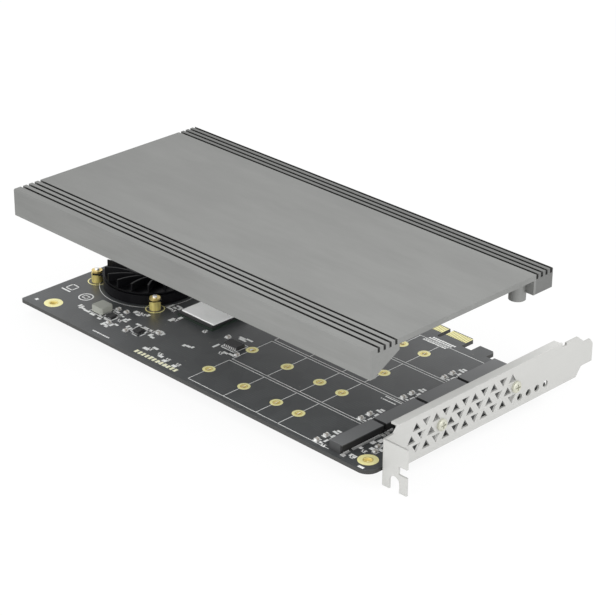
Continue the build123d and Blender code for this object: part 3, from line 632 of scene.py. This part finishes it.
def cover_aluminium():
    """Brushed, anodised aluminium, with painted shade down in the grooves and along the far rail, and a
    painted light gradient along its length.
    """
    recipe = Recipe("cover_aluminium")
    base = colours().cover
    x, y, z = recipe.axes(recipe.place())
    brush = recipe.noise(900.0, 4.0, vector=recipe.stretched((0.035, 1.0, 1.0)))
    cloud = recipe.noise(70.0, 4.0, vector=recipe.stretched((0.3, 1.0, 1.0)), rough=0.6)
    colour = recipe.mix(brush * 0.4 + cloud * 0.6, shade(base, 0.70), shade(base, 1.30))
    # Painted light: the colour runs from slightly darker at the low-X end to slightly lighter at the high-X
    # end, standing in for uneven light along the top.
    along = (x - COVER_LOW.x * MM) / ((COVER_HIGH.x - COVER_LOW.x) * MM)
    darker = recipe.mix(0.08, colour, BLACK)
    lighter = recipe.mix(0.02, colour, WHITE)
    colour = recipe.mix(along, darker, lighter)
    # Painted shade: the far rail is painted darker toward black.
    far_rail_painted_shade = y > (COVER_HIGH.y - FAR_RAIL) * MM
    colour = recipe.mix(far_rail_painted_shade * 0.3, colour, BLACK)
    # Painted shade: the groove walls and floors are painted near black, less at their open ends, and made
    # rougher.
    top = COVER_HIGH.z * MM
    in_rails = (y < (COVER_LOW.y + NEAR_RAIL) * MM) + (y > (COVER_HIGH.y - FAR_RAIL - GROOVE_MARGIN) * MM)
    inner_x = x.between((COVER_LOW.x + 0.05) * MM, (COVER_HIGH.x - 0.05) * MM)
    inner_y = y.between((COVER_LOW.y + 1.0) * MM, (COVER_HIGH.y - 0.45) * MM)
    down = z.between(top - (sizes().groove_depth + 0.1) * MM, top - 0.12 * MM)
    mid_x = x.between((COVER_LOW.x + 1.6) * MM, (COVER_HIGH.x - 1.6) * MM)
    groove_painted_shade = down * in_rails * inner_x * inner_y * (0.5 + mid_x * 0.5)
    colour = recipe.mix(groove_painted_shade, colour, shade(base, 0.18))
    return recipe.finish(
        base_color=colour, metallic=0.55, roughness=0.44 + (brush - 0.5) * 0.2 + groove_painted_shade * 0.2,
        normal=recipe.bump(brush, 0.012 * MM, 0.4))


def pad_gold():
    """Gold plating, deeper in colour down inside a hole."""
    recipe = Recipe("pad_gold")
    base = colours().gilt
    z = recipe.axes(recipe.place())[2]
    lines = recipe.noise(700.0)
    inside = z.between(-(BOARD_T - 0.1) * MM, -0.1 * MM)
    colour = recipe.mix(lines, shade(base, 0.94), shade(base, 1.06))
    colour = recipe.mix(inside, colour, shade(colours().collar, 0.95))
    return recipe.finish(
        base_color=colour, metallic=0.1, roughness=0.34 + (lines - 0.5) * 0.1 + inside * 0.2,
        normal=recipe.bump(lines, 0.006 * MM, 0.15))


def bracket_steel():
    """Plated sheet steel with a fine rolling grain, and a painted highlight along its folded rim."""
    recipe = Recipe("bracket_steel")
    base = colours().bracket
    z = recipe.axes(recipe.place())[2]
    grain = recipe.noise(1400.0, 3.0, vector=recipe.stretched((1.0, 0.05, 1.0)))
    cloud = recipe.noise(30.0, 2.0)
    colour = recipe.mix(grain * 0.6 + cloud * 0.4, shade(base, 0.93), shade(base, 1.05))
    # Painted highlight: the rim's top face is painted lighter and less metallic, standing in for light
    # catching it.
    painted_rim_light = z > (BRACKET_HIGH.z - 0.05) * MM
    colour = recipe.mix(painted_rim_light, colour, shade(base, 1.16))
    return recipe.finish(
        base_color=colour, metallic=0.35 - painted_rim_light * 0.3, roughness=0.45 + (grain - 0.5) * 0.12,
        normal=recipe.bump(grain, 0.008 * MM, 0.3))


def socket_nylon():
    """Moulded socket: a paler top that is a painted reflection, and a rear in painted deep shade where the
    contacts leave it.
    """
    recipe = Recipe("socket_nylon")
    base = colours().socket
    x, _, z = recipe.axes(recipe.place())
    speck = recipe.noise(2500.0)
    # Painted shade: the rear strip where the contacts leave is painted near black and made rougher.
    rear = (x > (SOCKET_HIGH.x - 1.1) * MM) * (z < (SOCKET_HIGH.z - 0.45) * MM)
    colour = recipe.mix(recipe.noise(90.0, 1.0), shade(base, 0.88), shade(base, 1.14))
    # Painted reflection: the top face is painted paler, standing in for the bright surroundings mirrored in
    # the moulding.
    top = z > (SOCKET_HIGH.z - 0.06) * MM
    colour = recipe.mix(top, colour, shade(base, 3.7))
    colour = recipe.mix(rear, colour, shade(base, 0.12))
    return recipe.finish(
        base_color=colour, roughness=0.4 + (speck - 0.5) * 0.1 + rear * 0.3,
        normal=recipe.bump(speck, 0.02 * MM, 0.4))


def chip_body():
    """Switch chip: green-black carrier below, grey moulded cap above."""
    recipe = Recipe("chip_body")
    cap = recipe.axes(recipe.place())[2] > CHIP_CARRIER_TOP * MM
    grain = recipe.noise(2600.0, 2.0)
    colour = recipe.mix(cap, (0.018, 0.030, 0.022), (0.030, 0.030, 0.031))
    return recipe.finish(
        base_color=colour, roughness=0.42 + cap * 0.12 + (grain - 0.5) * 0.1,
        normal=recipe.bump(grain, 0.015 * MM, 0.4))


def soft_pad():
    """Pale silicone pad with a faint bloom."""
    recipe = Recipe("soft_pad")
    base = colours().chip_pad
    bloom = recipe.noise(220.0, 3.0)
    colour = recipe.mix(bloom, shade(base, 0.93), shade(base, 1.05))
    return recipe.finish(
        base_color=colour, roughness=0.5, coat_weight=0.8, coat_roughness=0.25,
        normal=recipe.bump(recipe.noise(1600.0, 2.0), 0.02 * MM, 0.2))


def print_ink():
    """Matt white ink, worn thin in places."""
    recipe = Recipe("print_ink")
    base = colours().ink
    wear = recipe.noise(900.0, 2.0)
    colour = recipe.mix(wear, shade(base, 0.82), base)
    return recipe.finish(base_color=colour, roughness=0.6)


def lamp_resin():
    """Clear cap over a white lamp body."""
    recipe = Recipe("lamp_resin")
    cloud = recipe.noise(900.0, 1.0)
    colour = recipe.mix(cloud, (0.72, 0.74, 0.66), (0.82, 0.83, 0.78))
    return recipe.finish(base_color=colour, roughness=0.25, coat_weight=0.4)


class CARD_OT_finish_board(bpy.types.Operator):
    """Give the board, its contacts and its chips their finishes"""

    bl_idname = "card.finish_board"
    bl_label = "Board and chips"

    def execute(self, context):
        shades = colours()
        paint(solder_mask(), "circuit_board")
        paint(metal("edge_gold", shades.gilt, 0.3, 0.45), "edge_contacts")
        paint(metal("header_gold", (1.0, 0.97, 0.70), 0.34, 0.15), "header_pads")
        paint(metal("tin", shades.tin, 0.32, 0.5), "socket_tabs", "inductor_terminals", "memory_leads")
        paint(chip_body(), "switch_chip")
        epoxy = moulding("chip_epoxy", (0.022, 0.022, 0.023), 0.5)
        paint(epoxy, "memory_chip", "power_controller_1", "power_controller_2", "chip_resistors")
        paint(moulding("ferrite", (0.36, 0.37, 0.33), 0.6, 1400.0), "power_inductor")
        paint(moulding("ceramic", shades.ceramic, 0.38, 2200.0), "ceramic_capacitors")
        paint(lamp_resin(), "status_leds")
        sockets = [f"m2_socket_{i}" for i in range(1, 5)]
        paint(socket_nylon(), *sockets)
        return {"FINISHED"}


class CARD_OT_make_plating(bpy.types.Operator):
    """Make the plated holes and the plated rings under the standoffs"""

    bl_idname = "card.make_plating"
    bl_label = "Plated holes"

    def execute(self, context):
        gilt = pad_gold()
        deep = metal("collar_gold", colours().collar, 0.34, 0.4)
        for places, bore, pad in (
                (module_hole_places(), MODULE_BORE, sizes().module_pad),
                (corner_hole_places(), CORNER_BORE, sizes().corner_pad)):
            name, x, y = places[0]
            set_out(plated_hole(name, gilt, x, y, bore, pad), places)
            collars = [(f"{hole}_collar", *place) for hole, *place in places]
            set_out(pad_collar(collars[0][0], deep, x, y, bore), collars)
        rings = standoff_places()
        name, x, y = rings[0]
        outer = sizes().standoff_pad
        first = start_piece(name, gilt)
        add_ring(x, y, outer - sizes().standoff_ring, outer, -SEAT, sizes().plate_height)
        close_piece(first)
        set_out(first, rings)
        return {"FINISHED"}


class CARD_OT_make_contacts(bpy.types.Operator):
    """Make the solder feet behind the sockets and the springs in their mouths"""

    bl_idname = "card.make_contacts"
    bl_label = "Socket contacts"

    def execute(self, context):
        rear = SOCKET_HIGH.x
        feet = start_piece("socket_feet_1", metal("foot_tin", colours().tin, 0.3, 0.6))
        add_contacts((
            (rear - 1.30, 0.32), (rear - 0.95, 0.32), (rear - 0.65, 0.0), (rear + 0.15, 0.0),
            (rear + 0.15, 0.13), (rear - 0.58, 0.13), (rear - 0.88, 0.45), (rear - 1.30, 0.45)))
        close_piece(feet)
        mouth = SOCKET_LOW.x
        springs = start_piece("socket_springs_1", metal("spring_gold", colours().gilt, 0.25, 0.7))
        for flip, base in ((1, 1.45), (-1, 2.70)):
            add_contacts([(mouth + reach, base + flip * rise) for reach, rise in SPRING_PROFILE])
        close_piece(springs)
        for i, y in enumerate(SLOT_YS[1:], 2):
            shift = (0.0, y - SLOT_YS[0], 0.0)
            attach(copy_piece(feet, f"socket_feet_{i}", shift), CARD)
            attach(copy_piece(springs, f"socket_springs_{i}", shift), CARD)
        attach(feet, CARD)
        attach(springs, CARD)
        return {"FINISHED"}


class CARD_OT_make_ends(bpy.types.Operator):
    """Make the tinned ends of the capacitors and chip resistors"""

    bl_idname = "card.make_ends"
    bl_label = "Tinned ends"

    def execute(self, context):
        tin = metal("end_tin", colours().tin, 0.36, 0.35)
        for node, along, share in (("ceramic_capacitors", 1, 1.3), ("chip_resistors", 0, 1.25)):
            piece = start_piece(f"{node}_ends", tin)
            for low, high in solid_boxes(node):
                grown_low = low - Vector((SEAT, SEAT, -0.01))
                grown_high = high + Vector((SEAT, SEAT, SEAT))
                near_top, far_low = grown_high.copy(), grown_low.copy()
                near_top[along] = low[along] + sizes().cap_end * share
                far_low[along] = high[along] - sizes().cap_end * share
                add_block(grown_low, near_top)
                add_block(far_low, grown_high)
            bpy.ops.mesh.select_all(action="SELECT")
            bpy.ops.mesh.bevel(offset=0.05 * MM, segments=2)
            close_piece(piece)
            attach(piece, CARD)
        return {"FINISHED"}


class CARD_OT_make_soft_pad(bpy.types.Operator):
    """Make the soft pad that lies on the switch chip"""

    bl_idname = "card.make_soft_pad"
    bl_label = "Soft pad"

    def execute(self, context):
        low, high = box_mm("chip_pad")
        piece = start_piece("soft_chip_pad", soft_pad())
        add_block(low, high)
        bpy.ops.mesh.bevel(offset=sizes().pad_round * MM, segments=4)
        close_piece(piece)
        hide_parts("chip_pad")
        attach(piece, CARD)
        return {"FINISHED"}


class CARD_OT_print_slots(bpy.types.Operator):
    """Print the frames and rows of the four module positions"""

    bl_idname = "card.print_slots"
    bl_label = "Slot print"

    def execute(self, context):
        piece = start_piece("slot_print", print_ink())
        half = sizes().slot_frame_width / 2
        rear = MODULE_END_X - MODULE_LENGTHS[-1]
        front = SOCKET_LOW.x - 0.6
        for y in SLOT_YS:
            printed_line((rear, y - half), (front, y - half))
            printed_line((rear, y + half), (front, y + half))
            for reach in MODULE_LENGTHS:
                printed_line((MODULE_END_X - reach, y - half), (MODULE_END_X - reach, y + half))
            for x, offset, long, wide in SOCKET_BARS:
                printed_bar(x, y + offset, long, wide)
        printed_row(20.0, -60.9, (1.3, 0.9, 1.6, 1.2, 0.8, 1.5, 0.6), 0.55, 0.1)
        printed_row(19.6, -63.0, (0.5,), 0.6)
        printed_row(20.6, -63.0, (0.9, 1.5, 1.2, 1.4, 1.0), 0.6, 0.15)
        close_piece(piece)
        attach(piece, CARD)
        return {"FINISHED"}


class CARD_OT_print_marks(bpy.types.Operator):
    """Print the blower's ring, the parts' outlines and the plain bars"""

    bl_idname = "card.print_marks"
    bl_label = "Marks"

    def execute(self, context):
        piece = start_piece("mark_print", print_ink())
        fine = sizes().fine_line
        near = BOARD_LOW.y
        printed_ring(FAN_X, FAN_Y, sizes().fan_ring_radius)
        for node, along in (("ceramic_capacitors", 1), ("chip_resistors", 0)):
            for low, high in solid_boxes(node):
                for side, edge in ((-1, low), (1, high)):
                    start, end = low.copy(), high.copy()
                    start[1 - along] = end[1 - along] = edge[1 - along] + side * 0.35
                    printed_line(start, end, fine)
        for node, margin, width in (
                ("power_inductor", 0.6, fine), ("memory_leads", 0.7, 0.5),
                ("power_controller_1", 1.0, 0.6), ("power_controller_2", 1.2, 0.7)):
            low, high = box_mm(node)
            grow = Vector((margin, margin, 0.0))
            printed_frame(low - grow, high + grow, width)
            printed_dot(low.x - margin - 0.8, high.y + margin - 0.4, PIN_MARK_RADIUS)
        printed_ring(-126.9, near + 20.4, 3.0, 0.65)
        printed_frame((-128.3, near + 19.3), (-125.5, near + 21.5), 0.5)
        printed_frame((-140.1, near + 20.4), (-136.1, near + 24.4), 0.55)
        printed_line((-140.5, near + 18.8), (-135.7, near + 18.8), 0.8)
        printed_row(-101.3, near + 2.7, (0.6, 0.9, 0.5, 1.2, 0.8, 0.6, 1.0, 0.7, 0.9, 0.6), 0.75)
        for i, x in enumerate((-2.7, -2.3, -1.9, -0.9)):
            printed_row(x, -14.5 + 1.3 * i, (1.0, 0.8, 1.3, 0.9, 1.4, 0.8, 1.1, 0.9, 1.3, 0.8), 0.95, 0.2)
        for x, up, long, wide in SMALL_BARS:
            printed_bar(x, near + up, long, wide)
        close_piece(piece)
        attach(piece, CARD)
        return {"FINISHED"}


class CARD_OT_finish_bracket(bpy.types.Operator):
    """Give the slot bracket, its screws and its blocks their finishes"""

    bl_idname = "card.finish_bracket"
    bl_label = "Slot bracket"

    def execute(self, context):
        paint(bracket_steel(), "slot_bracket")
        brass = metal("brass", colours().brass, 0.3, 0.65, (1.0, 1.0, 0.03), 0.2)
        paint(brass, "fan_standoffs", "cover_posts")
        paint(metal("pale_brass", (0.50, 0.50, 0.42), 0.45, 0.3), "bracket_screws")
        # Steel tone, darkened well below the tin as painted shade for blocks that sit in shadow behind the
        # bracket.
        paint(metal("block_tin_painted_shade", (0.45, 0.45, 0.44), 0.4, 0.6), "bracket_blocks")
        return {"FINISHED"}


class CARD_OT_finish_blower(bpy.types.Operator):
    """Give the blower's plastic, nuts, shaft and bearing their finishes"""

    bl_idname = "card.finish_blower"
    bl_label = "Blower"

    def execute(self, context):
        paint(moulding("blower_plastic", colours().fan, 0.4, gleam=0.12), "impeller", "fan_base")
        paint(metal("nut_brass", shade(colours().brass, 0.8), 0.3, 0.7), "fan_screws")
        paint(metal("bearing_bronze", (0.45, 0.30, 0.15), 0.4), "fan_bearing")
        paint(metal("shaft_steel", (0.6, 0.6, 0.6), 0.25), "fan_shaft")
        return {"FINISHED"}


class CARD_OT_make_studs(bpy.types.Operator):
    """Make the bright stud ends above the blower's nuts"""

    bl_idname = "card.make_studs"
    bl_label = "Stud ends"

    def execute(self, context):
        places = [(f"stud_end_{i + 1}", x, y) for i, (_, x, y) in enumerate(standoff_places())]
        name, x, y = places[0]
        top = NUTS_HIGH.z
        first = start_piece(name, metal("stud_steel", (0.85, 0.85, 0.84), 0.22, 0.7))
        add_turned(x, y, (
            (0.0, top - SEAT), (1.05, top - SEAT), (1.05, top + 0.45),
            (0.95, top + 0.7), (0.65, top + 0.88), (0.0, top + 0.95)), 24)
        close_piece(first)
        set_out(first, places)
        return {"FINISHED"}


class CARD_OT_finish_cover(bpy.types.Operator):
    """Give the lifted cover its brushed finish"""

    bl_idname = "card.finish_cover"
    bl_label = "Cover"

    def execute(self, context):
        paint(cover_aluminium(), "cover")
        return {"FINISHED"}


class CARD_OT_set_stage(bpy.types.Operator):
    """Set the floor, the soft light and the camera"""

    bl_idname = "card.set_stage"
    bl_label = "Studio"

    def execute(self, context):
        set_floor()
        set_light()
        set_camera()
        return {"FINISHED"}


def seen_white(recipe):
    """One where a ray from the camera, a mirror or clear glass looks at the backdrop."""
    kinds = ("Is Camera Ray", "Is Glossy Ray", "Is Transmission Ray")
    camera, mirror, glass = recipe.node("ShaderNodeLightPath", take=kinds)
    return camera.maths("MAXIMUM", camera, mirror.maths("MAXIMUM", mirror, glass))


def set_floor():
    """A wide pale floor just under the lowest point of the card."""
    low = cad_bounds[0]
    bpy.ops.object.select_all(action="DESELECT")
    bpy.ops.mesh.primitive_plane_add(size=6.0, location=(0.0, 0.0, low[2] - 0.0002))
    floor = bpy.context.active_object
    floor.name = "studio_floor"
    recipe = Recipe("studio_floor")
    lit = recipe.node("ShaderNodeBsdfDiffuse", None, {"Color": (0.9, 0.9, 0.9, 1.0)}, take=0)
    glow = recipe.node("ShaderNodeEmission", None, {"Color": (1.0, 1.0, 1.0, 1.0), "Strength": 1.0})
    share = seen_white(recipe) * 0.90
    both = recipe.node("ShaderNodeMixShader", None, {0: share, 1: lit, 2: glow})
    recipe.node("ShaderNodeOutputMaterial", None, {"Surface": both}, take=())
    floor.data.materials.append(recipe.block)
    floor.select_set(False)


def add_panel_light(name, power, size, place, target):
    """A square soft light that faces a point."""
    data = bpy.data.lights.new(name, "AREA")
    data.energy = power
    data.size = size
    lamp = bpy.data.objects.new(name, data)
    bpy.context.scene.collection.objects.link(lamp)
    direction = Vector(target) - Vector(place)
    lamp.matrix_world = Matrix.Translation(place) @ direction.to_track_quat("-Z", "Y").to_matrix().to_4x4()


def set_light():
    """White surroundings and three soft panels."""
    stage = bpy.context.scene.card_stage
    recipe = Recipe("studio_world", "worlds")
    bpy.context.scene.world = recipe.block
    seen = seen_white(recipe)
    strength = stage.world_light + seen * (1.0 - stage.world_light)
    sky = recipe.node("ShaderNodeBackground", None, {"Color": (1.0, 1.0, 1.0, 1.0), "Strength": strength})
    recipe.node("ShaderNodeOutputWorld", None, {"Surface": sky}, take=())
    middle = (-0.04, -0.06, 0.02)
    add_panel_light("overhead_panel", stage.key_light, 0.8, (-0.15, 0.10, 0.75), middle)
    add_panel_light("front_panel", stage.side_light, 0.6, (0.75, -0.15, 0.35), middle)
    add_panel_light("low_panel", stage.low_light, 0.8, (-0.10, -0.90, 0.22), middle)


def set_camera():
    """The photograph's camera: turned about the vertical, tipped down, then rolled."""
    stage = bpy.context.scene.card_stage
    data = bpy.data.cameras.new("photo_camera")
    data.sensor_width = 36.0
    data.lens = stage.lens
    data.clip_start = 0.01
    data.clip_end = 20.0
    camera = bpy.data.objects.new("photo_camera", data)
    bpy.context.scene.collection.objects.link(camera)
    turn = Matrix.Rotation(stage.azimuth, 4, "Z") @ Matrix.Rotation(math.pi / 2 - stage.elevation, 4, "X")
    camera.matrix_world = Matrix.Translation(stage.place) @ turn @ Matrix.Rotation(stage.roll, 4, "Z")
    bpy.context.scene.camera = camera
    bpy.context.scene.view_settings.view_transform = "Standard"


class CARD_PT_looks(bpy.types.Panel):
    """Lists the steps of the card's looks"""

    bl_idname = "CARD_PT_looks"
    bl_label = "Adapter card"
    bl_space_type = "VIEW_3D"
    bl_region_type = "UI"
    bl_category = "Adapter Card"

    def draw(self, context):
        layout = self.layout
        for step in STEPS:
            layout.operator(step.bl_idname)
        for group in (context.scene.card_sizes, context.scene.card_colours, context.scene.card_stage):
            box = layout.box()
            for name in group.__annotations__:
                box.prop(group, name)


STEPS = (
    CARD_OT_finish_board,
    CARD_OT_make_plating,
    CARD_OT_make_contacts,
    CARD_OT_make_ends,
    CARD_OT_make_soft_pad,
    CARD_OT_print_slots,
    CARD_OT_print_marks,
    CARD_OT_finish_bracket,
    CARD_OT_finish_blower,
    CARD_OT_make_studs,
    CARD_OT_finish_cover,
    CARD_OT_set_stage,
)
GROUPS = (CardSizes, CardColours, StageSettings)


def register():
    for group in GROUPS:
        bpy.utils.register_class(group)
    for step in STEPS:
        bpy.utils.register_class(step)
    bpy.utils.register_class(CARD_PT_looks)
    bpy.types.Scene.card_sizes = PointerProperty(type=CardSizes)
    bpy.types.Scene.card_colours = PointerProperty(type=CardColours)
    bpy.types.Scene.card_stage = PointerProperty(type=StageSettings)


def unregister():
    del bpy.types.Scene.card_stage
    del bpy.types.Scene.card_colours
    del bpy.types.Scene.card_sizes
    bpy.utils.unregister_class(CARD_PT_looks)
    for step in reversed(STEPS):
        bpy.utils.unregister_class(step)
    for group in reversed(GROUPS):
        bpy.utils.unregister_class(group)


def main():
    register()
    bpy.ops.card.finish_board()
    bpy.ops.card.make_plating()
    bpy.ops.card.make_contacts()
    bpy.ops.card.make_ends()
    bpy.ops.card.make_soft_pad()
    bpy.ops.card.print_slots()
    bpy.ops.card.print_marks()
    bpy.ops.card.finish_bracket()
    bpy.ops.card.finish_blower()
    bpy.ops.card.make_studs()
    bpy.ops.card.finish_cover()
    bpy.ops.card.set_stage()


if __name__ == "__main__":
    main()
